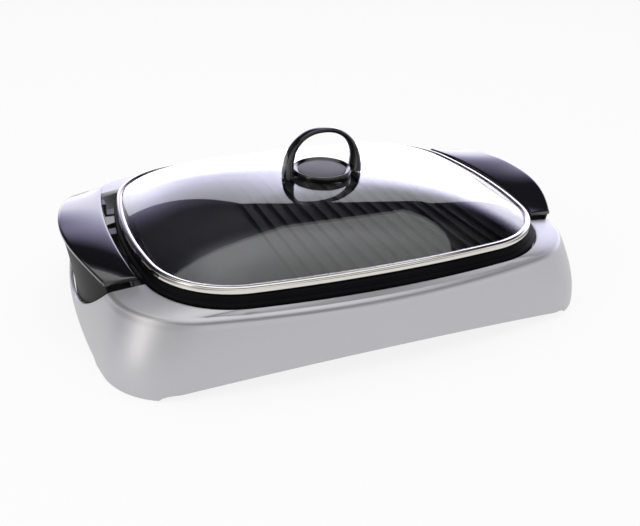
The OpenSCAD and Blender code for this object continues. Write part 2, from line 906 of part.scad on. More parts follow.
module control_dial() {
    color([0.1, 0.1, 0.11])
        difference() {
            union() {
                rod(243.5, dial_x + 1, 0, dial_z, 3);
                rod(dial_x, 270.5, 0, dial_z, dial_dia / 2);
            }
            for (i = [0:17])
                translate([0, 0, dial_z])
                    rotate([20 * i, 0, 0])
                        translate([0, 0, dial_dia / 2 + 0.6])
                            rotate([0, 90, 0])
                                translate([0, 0, dial_x + 2])
                                    cylinder(h = 10, r = 1.4);
        }
}

base_shell();
bottom_cover();
rubber_feet();
cover_screws();
heat_reflector();
plate_rests();
rest_screws();
drip_tray();
grill_plate();
heating_element();
element_clips();
clip_screws();
terminal_beads();
terminal_pins();
socket_shroud();
probe_sleeve();
handle_cover_left();
handle_cover_right();
handle_skirt_left();
handle_skirt_right();
handle_brackets_left();
handle_brackets_right();
bracket_screws();
handle_screws();
lid_glass();
lid_rim();
knob_seal();
knob_loop();
knob_base();
knob_cap();
knob_washer();
knob_screw();
control_housing();
control_end_cap();
control_probe();
contact_sleeves();
thermostat_switch();
indicator_lens();
cord_gland();
control_dial();
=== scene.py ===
"""Looks of the electric grill. Most visible surfaces are rebuilt in fine mesh round their CAD frame; the other
pieces keep their CAD mesh and are only painted.
"""
import json
import math

import bmesh
import bpy
from mathutils import Matrix, Vector

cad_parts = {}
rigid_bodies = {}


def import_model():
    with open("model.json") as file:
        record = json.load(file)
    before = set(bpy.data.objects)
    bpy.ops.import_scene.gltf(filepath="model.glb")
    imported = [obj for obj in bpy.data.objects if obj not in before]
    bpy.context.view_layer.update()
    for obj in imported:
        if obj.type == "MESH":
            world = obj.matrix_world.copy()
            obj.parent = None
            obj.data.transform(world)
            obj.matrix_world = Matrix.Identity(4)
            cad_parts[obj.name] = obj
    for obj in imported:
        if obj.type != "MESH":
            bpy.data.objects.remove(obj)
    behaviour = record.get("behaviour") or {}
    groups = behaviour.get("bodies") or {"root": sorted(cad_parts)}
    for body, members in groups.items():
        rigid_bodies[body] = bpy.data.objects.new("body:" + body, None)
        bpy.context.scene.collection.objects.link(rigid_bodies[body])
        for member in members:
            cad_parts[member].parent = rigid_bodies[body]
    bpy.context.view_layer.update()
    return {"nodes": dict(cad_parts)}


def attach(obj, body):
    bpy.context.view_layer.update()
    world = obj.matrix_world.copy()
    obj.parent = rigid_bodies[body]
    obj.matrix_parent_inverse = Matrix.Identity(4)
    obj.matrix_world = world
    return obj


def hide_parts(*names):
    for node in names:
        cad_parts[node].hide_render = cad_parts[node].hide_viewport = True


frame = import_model()
scene = bpy.context.scene
MM = 0.001

# ---------------------------------------------------------------- sizes, in millimetres

# Plan outlines: half length, half depth, bow of the short and long sides, corner radius
CREASE = (255, 193.5, 10.5, 15.8, 89)
FOOT = (271.5, 200, 10.5, 14.8, 75)
OPENING = (220, 174, 7.3, 8, 91.7)
LID = (215, 163, 6.3, 6, 90)
TRAY = (168, 128, 4, 4, 36)
REFLECTOR = (190, 148, 5, 5, 74)

# Middle of the plate, lid and opening in depth, and the heights that pieces share
PLATE_Y = -11
CREASE_Z = 73.5
DECK_Z = 78.3
COOK_Z = 70
RIM_Z = 94
RIM_H = 7.5
GLASS_TOP = 125
GLASS_T = 4

# Shell: wall, half width and rise of the arches under the front and the sides, and the corner bosses
WALL_T = 3.0
ARCH_FRONT = (219.5, 22.2)
ARCH_SIDE = (106, 12.5)
BOSS_X = 222
BOSS_Y = 136

# Top faces of the screw heads under the base, under the element clips and under the handle straps
BASE_SCREW_Z = 15.95
CLIP_SCREW_Z = 63.25
STRAP_SCREW_Z = 66.65

# How far inside the opening the ridges of the plate end
RIDGE_IN = 29.5

# Round recess under each handle: lowest point, half width at z = 75, and the circle through them
RECESS_Z = 24
RECESS_W = 113.5
RECESS_RISE = 75 - RECESS_Z
RECESS_R = (RECESS_W ** 2 + RECESS_RISE ** 2) / (2 * RECESS_RISE)
RECESS_ZC = RECESS_Z + RECESS_R

# Knob: half width and height of the loop's outer edge, its foot, and the dish round it
LOOP_W = 44
LOOP_H = 50.65
LOOP_Z = 126
DISH_R = 32
DISH_Z = 128.3
CAP_R = 26.2
CAP_Z = 130.25

# Edges of a handle cover: x at its ends, how much further out its middle is, and the same for the height
EDGE_IN = (217.2, 10, 84, 4.4)
EDGE_OUT = (246.5, 27.3, 80.9, 12.8)

# Handles: middle, half length, how much shorter the outer edge is, thickness and crown; then the skirts,
# with the ledge that each hangs from, and the straps
HANDLE_Y = 12
HANDLE_HALF = 111
HANDLE_TAPER = 4
HANDLE_T = 4
HANDLE_CROWN = 1.5
SKIRT_HALF = 105.5
SKIRT_T = 3
LEDGE = 11
LEDGE_T = 2.5
STRAP_YS = (-84, -35, 35, 86)

# Floors of the drip tray and of the heat reflector under it
TRAY_Z = 19.8
REFLECTOR_Z = 18.6

# Element tube: its long legs lie at ELEMENT_Y on both sides of the plate's middle and end at ELEMENT_X
TUBE_R = 3.3
TUBE_Z = 61.4
ELEMENT_Y = 95
ELEMENT_X = 130
ELEMENT_BEND = 40

# Plug-in control: half width, bottom, top and corners of its case, the dial and the circle of dots round it
CASE_Y = 27
CASE_LOW = 40
CASE_TOP = 74
CASE_R = 5
DIAL_Z = 56
DIAL_FLUTES = 36
SCALE_X = 261.8
SCALE_R = 17.2


# ---------------------------------------------------------------- outlines

def unit2(x, y):
    length = math.hypot(x, y)
    return x / length, y / length


def quarter(form, side_n, arc_n):
    """One quarter of a rectangle with bowed sides and round corners, from the x axis to the y axis."""
    a, b, sx, sy, r = form
    xc, yc = a - r - sx, b - r - sy
    points = []
    for i in range(side_n + 1):
        t = i / side_n
        nx, ny = unit2(1, 2 * sx * t / yc)
        points.append((a - r - sx * t * t + r * nx, yc * t + r * ny))
    first, last = math.atan2(2 * sx, yc), math.atan2(xc, 2 * sy)
    for i in range(1, arc_n):
        g = first + (last - first) * i / arc_n
        points.append((xc + r * math.cos(g), yc + r * math.sin(g)))
    for i in range(side_n, -1, -1):
        t = i / side_n
        nx, ny = unit2(2 * sy * t / xc, 1)
        points.append((xc * t + r * nx, b - r - sy * t * t + r * ny))
    return points


def outline(form, side_n=12, arc_n=16):
    q = quarter(form, side_n, arc_n)
    back = q[-2:0:-1]
    left = [(-x, y) for x, y in back] + [(-q[0][0], q[0][1])]
    return q + left + [(-x, -y) for x, y in q[1:]] + [(x, -y) for x, y in back]


def inset(form, d):
    return (form[0] - d, form[1] - d, form[2], form[3], form[4] - d)


def blend_form(f, g, t):
    return tuple(f[i] + (g[i] - f[i]) * t for i in range(5))


def scaled_form(form, s):
    return tuple(v * s for v in form)


def side_x(form, y):
    """x of an outline's side, at a distance y from the outline's own middle."""
    a, b, sx, sy, r = form
    xc, yc = a - r - sx, b - r - sy
    slope = 2 * sx / yc
    n = 1 / math.hypot(1, slope)
    y1, x1 = yc + r * slope * n, xc + r * n
    if abs(y) < y1:
        return a - (a - x1) * (y / y1) ** 2
    return xc + math.sqrt(r * r - (abs(y) - yc) ** 2)


def ring(form, z, dy=0.0):
    return [(x, y + dy, z) for x, y in outline(form)]


def profile_rings(form, profile, dy=0.0):
    """Rings for a list of (inset, height) pairs."""
    return [ring(inset(form, d), z, dy) for d, z in profile]


def fillet(d0, z0, r, start, stop, n):
    """Points of a round edge in a profile: centre d0, z0; angles in degrees."""
    turns = [math.radians(start + (stop - start) * i / n) for i in range(n + 1)]
    return [(d0 + r * math.cos(g), z0 + r * math.sin(g)) for g in turns]


# ---------------------------------------------------------------- mesh making

def link(obj):
    scene.collection.objects.link(obj)
    return obj


def shade(bm, sharp):
    """Smooth shading, with edges steeper than sharp degrees left crisp."""
    limit = math.radians(sharp)
    for f in bm.faces:
        f.smooth = True
    for e in bm.edges:
        e.smooth = len(e.link_faces) == 2 and e.calc_face_angle(0.0) < limit


def soften(obj, sharp=35.0):
    """Merges doubles, turns faces outwards and shades the mesh."""
    bm = bmesh.new()
    bm.from_mesh(obj.data)
    bmesh.ops.remove_doubles(bm, verts=bm.verts, dist=1e-6)
    bmesh.ops.recalc_face_normals(bm, faces=bm.faces)
    shade(bm, sharp)
    bm.to_mesh(obj.data)
    bm.free()
    return obj


def make(name, verts, faces, sharp=35.0):
    mesh = bpy.data.meshes.new(name)
    mesh.from_pydata([(x * MM, y * MM, z * MM) for x, y, z in verts], [], faces)
    obj = link(bpy.data.objects.new(name, mesh))
    return soften(obj, sharp)


def skin(name, rings, closed=False, sharp=35.0):
    """A surface over rings of equal length: capped at both ends, or closed from the last ring to the first."""
    n, m = len(rings[0]), len(rings)
    faces = []
    for j in range(m if closed else m - 1):
        k = (j + 1) % m
        for i in range(n):
            i2 = (i + 1) % n
            faces.append((j * n + i, j * n + i2, k * n + i2, k * n + i))
    if not closed:
        faces.append(tuple(range(n - 1, -1, -1)))
        faces.append(tuple((m - 1) * n + i for i in range(n)))
    return make(name, [p for r in rings for p in r], faces, sharp)


def revolve(profile, n=96):
    """Rings of a turned form, from (radius, height) pairs."""
    return [[(r * math.cos(2 * math.pi * i / n), r * math.sin(2 * math.pi * i / n), z)
             for i in range(n)] for r, z in profile]


def place(rings, dx=0.0, dy=0.0, dz=0.0):
    return [[(x + dx, y + dy, z + dz) for x, y, z in r] for r in rings]


def along_x(rings, x0, y0, z0):
    """Stands a turned form along +X from x0."""
    return [[(x0 + z, y0 + x, z0 + y) for x, y, z in r] for r in rings]


def join(name, objs, sharp=35.0):
    """One object from several."""
    bm = bmesh.new()
    for o in objs:
        part = bmesh.new()
        part.from_mesh(o.data)
        bmesh.ops.recalc_face_normals(part, faces=part.faces)
        part.to_mesh(o.data)
        part.free()
        bm.from_mesh(o.data)
    shade(bm, sharp)
    mesh = bpy.data.meshes.new(name)
    bm.to_mesh(mesh)
    bm.free()
    for o in objs:
        bpy.data.objects.remove(o)
    return link(bpy.data.objects.new(name, mesh))


def bake(obj):
    """Applies every modifier on obj."""
    graph = bpy.context.evaluated_depsgraph_get()
    mesh = bpy.data.meshes.new_from_object(obj.evaluated_get(graph))
    obj.modifiers.clear()
    obj.data = mesh


def cut(obj, cutters, sharp=35.0):
    """Takes each cutter away from obj and removes it."""
    for c in cutters:
        m = obj.modifiers.new("cut", "BOOLEAN")
        m.operation = "DIFFERENCE"
        m.solver = "EXACT"
        m.object = c
    bake(obj)
    for c in cutters:
        bpy.data.objects.remove(c)
    return soften(obj, sharp)


def bevel(obj, width, segments=2, angle=40.0, sharp=30.0):
    """Rounds the edges steeper than angle degrees."""
    m = obj.modifiers.new("edge", "BEVEL")
    m.width = width * MM
    m.segments = segments
    m.limit_method = "ANGLE"
    m.angle_limit = math.radians(angle)
    m.use_clamp_overlap = True
    bake(obj)
    return soften(obj, sharp)


def block(name, low, high, sharp=30.0):
    (x0, y0, z0), (x1, y1, z1) = low, high
    verts = [(x0, y0, z0), (x1, y0, z0), (x1, y1, z0), (x0, y1, z0),
             (x0, y0, z1), (x1, y0, z1), (x1, y1, z1), (x0, y1, z1)]
    faces = [(3, 2, 1, 0), (4, 5, 6, 7), (0, 1, 5, 4), (1, 2, 6, 5), (2, 3, 7, 6), (3, 0, 4, 7)]
    return make(name, verts, faces, sharp)


# ---------------------------------------------------------------- nodes

def add_node(tree, kind, settings=None, **inputs):
    """A node with its settings and inputs; an input is named, or is i0, i1 and so on, and a socket gets linked."""
    n = tree.nodes.new(kind)
    for key, value in (settings or {}).items():
        setattr(n, key, value)
    for key, value in inputs.items():
        socket = n.inputs[int(key[1:]) if key[1:].isdigit() else key.replace("_", " ")]
        if isinstance(value, bpy.types.NodeSocket):
            tree.links.new(value, socket)
        else:
            socket.default_value = value
    return n


def add_math(tree, operation, *values, clamp=False):
    """A math node on sockets or numbers, as a socket."""
    inputs = {"i%d" % k: value for k, value in enumerate(values)}
    return add_node(tree, "ShaderNodeMath", {"operation": operation, "use_clamp": clamp}, **inputs).outputs[0]


class Tree:
    """A small Geometry Nodes tree with named inputs, ended by Realize Instances and Set Material."""

    def __init__(self, name, inputs):
        self.group = bpy.data.node_groups.new(name, "GeometryNodeTree")
        face = self.group.interface
        face.new_socket("Geometry", in_out="INPUT", socket_type="NodeSocketGeometry")
        self.ids = {}
        for label, value in inputs.items():
            kind = "NodeSocketInt" if isinstance(value, int) else "NodeSocketFloat"
            s = face.new_socket(label, in_out="INPUT", socket_type=kind)
            s.default_value = value
            self.ids[label] = (s.identifier, value)
        face.new_socket("Geometry", in_out="OUTPUT", socket_type="NodeSocketGeometry")
        self.enter = self.group.nodes.new("NodeGroupInput")

    def take(self, label):
        return self.enter.outputs[label]

    def node(self, kind, settings=None, **inputs):
        return add_node(self.group, kind, settings, **inputs).outputs[0]

    def math(self, operation, a, b=0.0, c=0.0):
        return add_math(self.group, operation, a, b, c)

    def scaled(self, label, factor):
        return self.math("MULTIPLY", self.take(label), factor)

    def joined(self, *parts):
        both = self.group.nodes.new("GeometryNodeJoinGeometry")
        for part in parts:
            self.group.links.new(part, both.inputs[0])
        return both.outputs[0]

    def close(self, geometry, material):
        real = self.node("GeometryNodeRealizeInstances", Geometry=geometry)
        done = self.node("GeometryNodeSetMaterial", Geometry=real, Material=material)
        leave = self.group.nodes.new("NodeGroupOutput")
        self.group.links.new(done, leave.inputs[0])

    def run(self, name, verts, edges, sharp=35.0):
        """Runs the tree on a mesh of points or edges, in millimetres, and gives a plain mesh object."""
        mesh = bpy.data.meshes.new(name)
        mesh.from_pydata([(x * MM, y * MM, z * MM) for x, y, z in verts], edges, [])
        obj = link(bpy.data.objects.new(name, mesh))
        m = obj.modifiers.new(self.group.name, "NODES")
        m.node_group = self.group
        for identifier, value in self.ids.values():
            m[identifier] = value
        bake(obj)
        return soften(obj, sharp)


def tube_tree(name, radius, material):
    """A tube along a path of edges."""
    t = Tree(name, {"Radius": radius * MM, "Sides": 20})
    path = t.node("GeometryNodeMeshToCurve", Mesh=t.take("Geometry"))
    circle = t.node("GeometryNodeCurvePrimitiveCircle", Resolution=t.take("Sides"), Radius=t.take("Radius"))
    body = t.node("GeometryNodeCurveToMesh", Curve=path, Profile_Curve=circle, Fill_Caps=True)
    t.close(body, material)
    return t


def ridge_tree(material):
    """Round-topped ribs across a floor whose outline is a bowed, round-cornered rectangle."""
    form = inset(OPENING, RIDGE_IN)
    a, b, sx, sy, r = form
    xc, yc = a - r - sx, b - r - sy
    t = Tree("plate_ridges", {
        "Count": 17, "Pitch": 15.8 * MM, "First": -72 * MM, "Width": 3.2 * MM, "Height": 3.6 * MM,
        "Half depth": b * MM, "Bow": sy * MM, "Corner x": xc * MM, "Corner y": yc * MM,
        "Corner radius": r * MM})
    start = t.node("ShaderNodeCombineXYZ", X=t.take("First"), Y=PLATE_Y * MM, Z=COOK_Z * MM)
    step = t.node("ShaderNodeCombineXYZ", X=t.take("Pitch"), Y=0.0, Z=0.0)
    line = t.node("GeometryNodeMeshLine", Count=t.take("Count"), Start_Location=start, Offset=step)
    x = t.node("ShaderNodeSeparateXYZ", Vector=t.node("GeometryNodeInputPosition"))
    x = t.math("ABSOLUTE", x)
    share = t.math("DIVIDE", x, t.take("Corner x"))
    bow = t.math("MULTIPLY", t.take("Bow"), t.math("MULTIPLY", share, share))
    straight = t.math("SUBTRACT", t.take("Half depth"), bow)
    over = t.math("SUBTRACT", x, t.take("Corner x"))
    square = t.math("MULTIPLY", t.take("Corner radius"), t.take("Corner radius"))
    arc = t.math("SUBTRACT", square, t.math("MULTIPLY", over, over))
    arc = t.math("ADD", t.take("Corner y"), t.math("SQRT", t.math("MAXIMUM", arc, 0.0)))
    past = t.math("GREATER_THAN", over, 0.0)
    before = t.math("SUBTRACT", 1.0, past)
    half = t.math("ADD", t.math("MULTIPLY", past, arc), t.math("MULTIPLY", before, straight))
    bar = t.node("GeometryNodeCurvePrimitiveLine", Start=(0, -1, 0), End=(0, 1, 0))
    bar = t.node("GeometryNodeResampleCurve", Curve=bar, Count=40)
    size = t.node("ShaderNodeCombineXYZ", X=1.0, Y=half, Z=1.0)
    placed = t.node("GeometryNodeInstanceOnPoints", Points=line, Instance=bar, Scale=size)
    placed = t.node("GeometryNodeRealizeInstances", Geometry=placed)
    factor = t.node("GeometryNodeSplineParameter")
    near = t.math("MINIMUM", factor, t.math("SUBTRACT", 1.0, factor))
    # A rib is thin at its two ends and swells to its full size close to them
    swell = t.math("MINIMUM", t.math("ADD", t.math("MULTIPLY", near, 36.0), 0.12), 1.0)
    placed = t.node("GeometryNodeSetCurveRadius", Curve=placed, Radius=swell)
    circle = t.node("GeometryNodeCurvePrimitiveCircle", Resolution=20, Radius=1.0)
    oval = t.node("ShaderNodeCombineXYZ", X=t.scaled("Width", 0.5), Y=t.take("Height"), Z=1.0)
    section = t.node("GeometryNodeTransform", Geometry=circle, Scale=oval)
    body = t.node("GeometryNodeCurveToMesh", Curve=placed, Profile_Curve=section, Fill_Caps=True)
    t.close(body, material)
    return t


def screw_tree(name, head_r, head_h, shank_r, shank_h, material):
    """Pan-head screws, head down, one on each point; a point is the top face of its head."""
    t = Tree(name, {"Head radius": head_r * MM, "Head height": head_h * MM,
                    "Shank radius": shank_r * MM, "Shank length": shank_h * MM})
    head = t.node("GeometryNodeMeshCone", Vertices=28, Radius_Top=t.take("Head radius"),
                  Radius_Bottom=t.scaled("Head radius", 0.72), Depth=t.take("Head height"))
    low = t.node("ShaderNodeCombineXYZ", X=0.0, Y=0.0, Z=t.scaled("Head height", -1.0))
    head = t.node("GeometryNodeTransform", Geometry=head, Translation=low)
    arm = t.node("ShaderNodeCombineXYZ", X=t.scaled("Head radius", 1.1), Y=t.scaled("Head radius", 0.24),
                 Z=t.scaled("Head height", 0.9))
    bar = t.node("GeometryNodeMeshCube", Size=arm)
    bar = t.node("GeometryNodeTransform", Geometry=bar, Translation=low)
    turned = t.node("GeometryNodeTransform", Geometry=bar, Rotation=(0.0, 0.0, math.pi / 2))
    head = t.node("GeometryNodeMeshBoolean", {"operation": "DIFFERENCE", "solver": "EXACT"},
                  i0=head, i1=t.joined(bar, turned))
    shank = t.node("GeometryNodeMeshCylinder", Vertices=20, Radius=t.take("Shank radius"),
                   Depth=t.take("Shank length"))
    up = t.node("ShaderNodeCombineXYZ", X=0.0, Y=0.0, Z=t.scaled("Shank length", 0.5))
    shank = t.node("GeometryNodeTransform", Geometry=shank, Translation=up)
    points = t.node("GeometryNodeMeshToPoints", Mesh=t.take("Geometry"))
    placed = t.node("GeometryNodeInstanceOnPoints", Points=points, Instance=t.joined(head, shank))
    t.close(placed, material)
    return t


# ---------------------------------------------------------------- finishes

def new_finish(name):
    """A material with nodes: its tree, its Principled shader and its output."""
    mat = bpy.data.materials.new(name)
    mat.use_nodes = True
    tree = mat.node_tree
    return mat, tree, tree.nodes["Principled BSDF"], tree.nodes["Material Output"]


def finish_of(name, color, rough, metal=0.0, spread=0.0, tint=0.0, grain=0.0, grain_mm=1.0, stretch=(1, 1, 1),
              coat=0.0, specular=0.5):
    """A finish: a colour that drifts by tint, a roughness that drifts by spread, and a fine grain bump."""
    mat, tree, shader, _ = new_finish(name)
    for label, value in (("Metallic", metal), ("Coat Weight", coat), ("Coat Roughness", 0.06),
                         ("Specular IOR Level", specular)):
        shader.inputs[label].default_value = value
    place_at = tree.nodes.new("ShaderNodeTexCoord").outputs["Object"]
    place_at = add_node(tree, "ShaderNodeMapping", Vector=place_at, Scale=stretch).outputs["Vector"]
    cloud = add_node(tree, "ShaderNodeTexNoise", Vector=place_at, Scale=1000 / CLOUD_MM, Detail=4.0).outputs["Fac"]
    speck = add_node(tree, "ShaderNodeTexNoise", Vector=place_at, Scale=1000 / grain_mm, Detail=2.0).outputs["Fac"]
    both = add_node(tree, "ShaderNodeMix", Factor=0.4, A=cloud, B=speck).outputs["Result"]
    ramp = add_node(tree, "ShaderNodeValToRGB", Fac=both)
    for end, at, share in ((0, DRIFT[0], 1 - tint), (1, DRIFT[1], 1 + tint)):
        ramp.color_ramp.elements[end].position = at
        ramp.color_ramp.elements[end].color = tuple(min(1, c * share) for c in color) + (1,)
    tree.links.new(ramp.outputs["Color"], shader.inputs["Base Color"])
    level = add_node(tree, "ShaderNodeMapRange", Value=both, From_Min=DRIFT[0], From_Max=DRIFT[1],
                     To_Min=max(0.0, rough - spread), To_Max=min(1.0, rough + spread))
    tree.links.new(level.outputs["Result"], shader.inputs["Roughness"])
    if grain:
        bump = add_node(tree, "ShaderNodeBump", Strength=1.0, Distance=grain * MM, Height=speck)
        tree.links.new(bump.outputs["Normal"], shader.inputs["Normal"])
    return mat


def clear_glass():
    """Clear glass that lets light through to what is under it."""
    mat, tree, shader, output = new_finish("clear_glass")
    for label, value in (("Base Color", (0.97, 0.985, 0.98, 1)), ("Transmission Weight", 1.0), ("IOR", 1.5),
                         ("Roughness", 0.0)):
        shader.inputs[label].default_value = value
    shadow = tree.nodes.new("ShaderNodeLightPath").outputs["Is Shadow Ray"]
    clear = add_node(tree, "ShaderNodeBsdfTransparent", Color=(0.93, 0.95, 0.94, 1)).outputs[0]
    mix = add_node(tree, "ShaderNodeMixShader", i0=shadow, i1=shader.outputs[0], i2=clear)
    tree.links.new(mix.outputs[0], output.inputs["Surface"])
    return mat


# Size of the broad drift in every finish, and the part of the noise's range that the drift covers
CLOUD_MM = 60
DRIFT = (0.3, 0.7)

SILVER = finish_of("silver_paint", (0.53, 0.53, 0.556), 0.40, metal=0.75, spread=0.03, tint=0.02,
                   grain=0.006, grain_mm=0.45)
MATTE_BLACK = finish_of("matte_black", (0.022, 0.022, 0.024), 0.55, spread=0.06, tint=0.1,
                        grain=0.03, grain_mm=0.7)
RUBBER = finish_of("foot_rubber", (0.014, 0.014, 0.014), 0.8, spread=0.05, tint=0.15,
                   grain=0.03, grain_mm=0.9)
ZINC = finish_of("zinc_plate", (0.56, 0.56, 0.57), 0.32, metal=1.0, spread=0.08, tint=0.06,
                 grain=0.006, grain_mm=1.5)
STRAP = finish_of("strap_steel", (0.15, 0.15, 0.16), 0.42, metal=0.9, spread=0.07, tint=0.05,
                  grain=0.006, grain_mm=0.8, stretch=(0.2, 1, 1))
SHEET = finish_of("aluminised_sheet", (0.5, 0.5, 0.51), 0.42, metal=1.0, spread=0.1, tint=0.07,
                  grain=0.01, grain_mm=2.5)
ENAMEL = finish_of("tray_enamel", (0.018, 0.018, 0.02), 0.18, spread=0.05, tint=0.1,
                   grain=0.012, grain_mm=3.0, coat=0.4)
CAST = finish_of("nonstick_casting", (0.005, 0.005, 0.006), 0.42, spread=0.08, tint=0.3,
                 grain=0.1, grain_mm=1.5, specular=0.03)
SHEATH = finish_of("element_sheath", (0.15, 0.14, 0.135), 0.5, metal=0.9, spread=0.1, tint=0.2,
                   grain=0.02, grain_mm=2.0)
CERAMIC = finish_of("ceramic", (0.78, 0.76, 0.7), 0.5, spread=0.05, tint=0.04, grain=0.01, grain_mm=0.8)
PIANO = finish_of("polished_black", (0.006, 0.006, 0.007), 0.07, spread=0.02, tint=0.2,
                  grain=0.0006, grain_mm=6.0, coat=0.6)
GREY = finish_of("matte_grey", (0.009, 0.0085, 0.010), 0.5, spread=0.05, tint=0.08,
                 grain=0.015, grain_mm=0.6, specular=0.12)
CAP_GREY = finish_of("dish_floor_grey", (0.045, 0.045, 0.048), 0.42, spread=0.05, tint=0.06,
                     grain=0.012, grain_mm=0.6)
RIM_STEEL = finish_of("rim_steel", (0.70, 0.68, 0.64), 0.14, metal=1.0, spread=0.04, tint=0.03,
                      grain=0.0012, grain_mm=5.0)
SILICONE = finish_of("silicone", (0.05, 0.05, 0.05), 0.6, spread=0.05, tint=0.1, grain=0.01, grain_mm=1.0)
BRASS = finish_of("contact_brass", (0.72, 0.56, 0.28), 0.28, metal=1.0, spread=0.06, tint=0.06,
                  grain=0.004, grain_mm=1.5)
LENS = finish_of("lens_red", (0.55, 0.02, 0.01), 0.12, spread=0.02, tint=0.1, coat=0.5)
GLASS = clear_glass()
INK = finish_of("scale_white", (0.75, 0.75, 0.75), 0.5, spread=0.03, tint=0.02)


def dress(obj, material, body, slot, *nodes):
    """Paints a piece, makes it move with its body and lets it stand for its CAD nodes."""
    obj.data.materials.clear()
    obj.data.materials.append(material)
    for p in obj.data.polygons:
        p.material_index = 0
    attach(obj, body)
    if nodes:
        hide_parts(*nodes)
    return obj


def paint_node(name, material):
    for s in frame["nodes"][name].material_slots:
        s.material = material


# ---------------------------------------------------------------- base shell

def wall_form(z, d=0.0):
    """Outline of the wall at height z, or of a surface d further in."""
    return inset(blend_form(CREASE, FOOT, math.sin(math.radians(90 * (1 - z / CREASE_Z)))), d)


def disc_cutter(name, side, radius):
    """A round bar along X that clears the recess under a handle."""
    rings = revolve([(radius, 190), (radius, 320)], 256)
    return skin(name, [[(side * z, HANDLE_Y + y, RECESS_ZC + x) for x, y, z in r] for r in rings])


def arch_cutter(name, half, top, reach, turned):
    """What the arch under a wall takes away: a concave rise from each foot, then a low bow."""
    rise, run, steps, bow_steps = 7.0, 18.0, 12, 48
    inner = half - run
    left = []
    for i in range(1, steps + 1):
        g = math.pi / 2 * i / steps
        left.append((-half + run * (1 - math.cos(g)), rise * math.sin(g)))
    points = [(-half - 0.5, -2.0), (-half, 0.0)] + left
    for i in range(1, bow_steps):
        t = 2 * i / bow_steps - 1
        points.append((inner * t, rise + (top - rise) * (1 - t * t)))
    points += [(-x, z) for x, z in reversed(left)] + [(half, 0.0), (half + 0.5, -2.0)]
    if turned:
        rings = [[(x, u, z) for u, z in points] for x in (-reach, reach)]
    else:
        rings = [[(u, y, z) for u, z in points] for y in (-reach, reach)]
    return skin(name, rings)


def crease_rings():
    """The round over the crease, from a point on the wall to a point on the deck, and the deck's outer outline."""
    # Inset and height where the round starts on the wall and where it ends on the deck
    (d0, z0), (d1, z1) = (-1.5, 69.26), (4.45, 74.17)
    rings = []
    for i in range(11):
        t = i / 10
        z = (1 - t) ** 2 * z0 + 2 * t * (1 - t) * CREASE_Z + t * t * z1
        rings.append(ring(inset(CREASE, (1 - t) ** 2 * d0 + t * t * d1), z))
    return rings, inset(CREASE, d1), z1


def deck_rings(form, low):
    """The deck, which rises from its outer outline to the edge of the opening."""
    outer, edge = outline(form), outline(inset(OPENING, -1.5))
    rings = []
    for f in (0.1, 0.3, 0.5, 0.7, 0.9, 1.0):
        rings.append([(xo + (xe - xo) * f, yo + (ye + PLATE_Y - yo) * f, low + (DECK_Z - low) * f)
                      for (xo, yo), (xe, ye) in zip(outer, edge)])
    return rings


def base_shell():
    rings = [ring(wall_form(z, d), z) for d, z in ((1.2, 0.8), (0.35, 1.0), (0.0, 1.9))]
    rings += [ring(wall_form(z), z) for z in [*range(4, 65, 4), 67]]
    crease, deck, low = crease_rings()
    rings += crease + deck_rings(deck, low)
    lip = [(-0.9, DECK_Z - 0.03), (-0.4, DECK_Z - 0.3), (-0.1, DECK_Z - 0.8), (0, DECK_Z - 1.4), (0, 66.4),
           (-0.3, 66.0), (-1.7, 66.0), (-2.0, 66.4), (-2.0, 75.3)]
    rings += profile_rings(OPENING, lip, PLATE_Y)
    rings += [ring(wall_form(z, WALL_T), z) for z in (69, 60, 50, 40, 30, 20, 12, 6, 0.8)]
    shell = skin("base_shell_fine", rings, closed=True)
    shell = cut(shell, [disc_cutter("cut_left", -1, RECESS_R), disc_cutter("cut_right", 1, RECESS_R),
                        arch_cutter("cut_front", *ARCH_FRONT, 300, False),
                        arch_cutter("cut_side", *ARCH_SIDE, 400, True)])
    shell = bevel(shell, 0.45, 2, 55.0)
    tube = revolve([(4.5, 18.6), (4.5, 73.0), (2.1, 73.0), (2.1, 18.6)], 32)
    bosses = [skin("boss", place(tube, x, y), closed=True) for x in (-BOSS_X, BOSS_X) for y in (-BOSS_Y, BOSS_Y)]
    shell = join("base_shell_fine", [shell] + bosses)
    dress(shell, SILVER, "base", "silver_shell", "base_shell")


# ---------------------------------------------------------------- cooking plate

def boss_x(y):
    """How far out the bosses under the plate's straps stand."""
    return side_x(OPENING, y - PLATE_Y) - 11


def drain_cutter(name, x, y, r, half):
    """A round-ended slot along Y through the floor of the plate."""
    points = []
    for i in range(24):
        g = 2 * math.pi * i / 24
        points.append((x + r * math.cos(g), y + r * math.sin(g) + (half if math.sin(g) > 0 else -half)))
    return skin(name, [[(px, py, z) for px, py in points] for z in (55, 80)])


def cooking_plate():
    profile = [(26.5, 65), (22.5, 65.9), (19, 69.6), (13.2, 78.6), (12.0, 79.3), (5.9, 79.3), (5.4, 78.9),
               (5.4, 70.6), (5.1, 70.3), (2.5, 70.3), (2.2, 70.6), (1.9, 74.6), (1.3, 77.6)]
    profile += fillet(3.4, 79.3, 2.1, 190, 90, 8)
    profile += [(4.6, 81.45), (5.2, 81.8), (5.5, 82.6), (5.6, 84.9), (5.9, 85.8), (6.6, 86.2), (10, 86.2),
                (13.4, 86.2), (14.3, 85.9), (15.2, 85.2), (17.5, 81.6), (21.6, 74.8), (23.2, 72.4), (24.6, 71.0),
                (26.4, 70.2), (28.5, 70.0)]
    body = skin("plate_pan", profile_rings(OPENING, profile, PLATE_Y), sharp=50.0)
    body = cut(body, [drain_cutter("cut_drain", -0.9, 104, 3.5, 5)], sharp=50.0)
    ridges = ridge_tree(CAST).run("plate_ridges_mesh", [(0, 0, 0)], [], 50.0)
    boss = revolve([(4.6, 69.3), (4.6, 80.3)], 32)
    bosses = [skin("boss", place(boss, side * boss_x(y), y)) for y in STRAP_YS for side in (-1, 1)]
    plate = join("cooking_plate", [body, ridges] + bosses, 50.0)
    dress(plate, CAST, "plate", "cast_plate", "grill_plate")


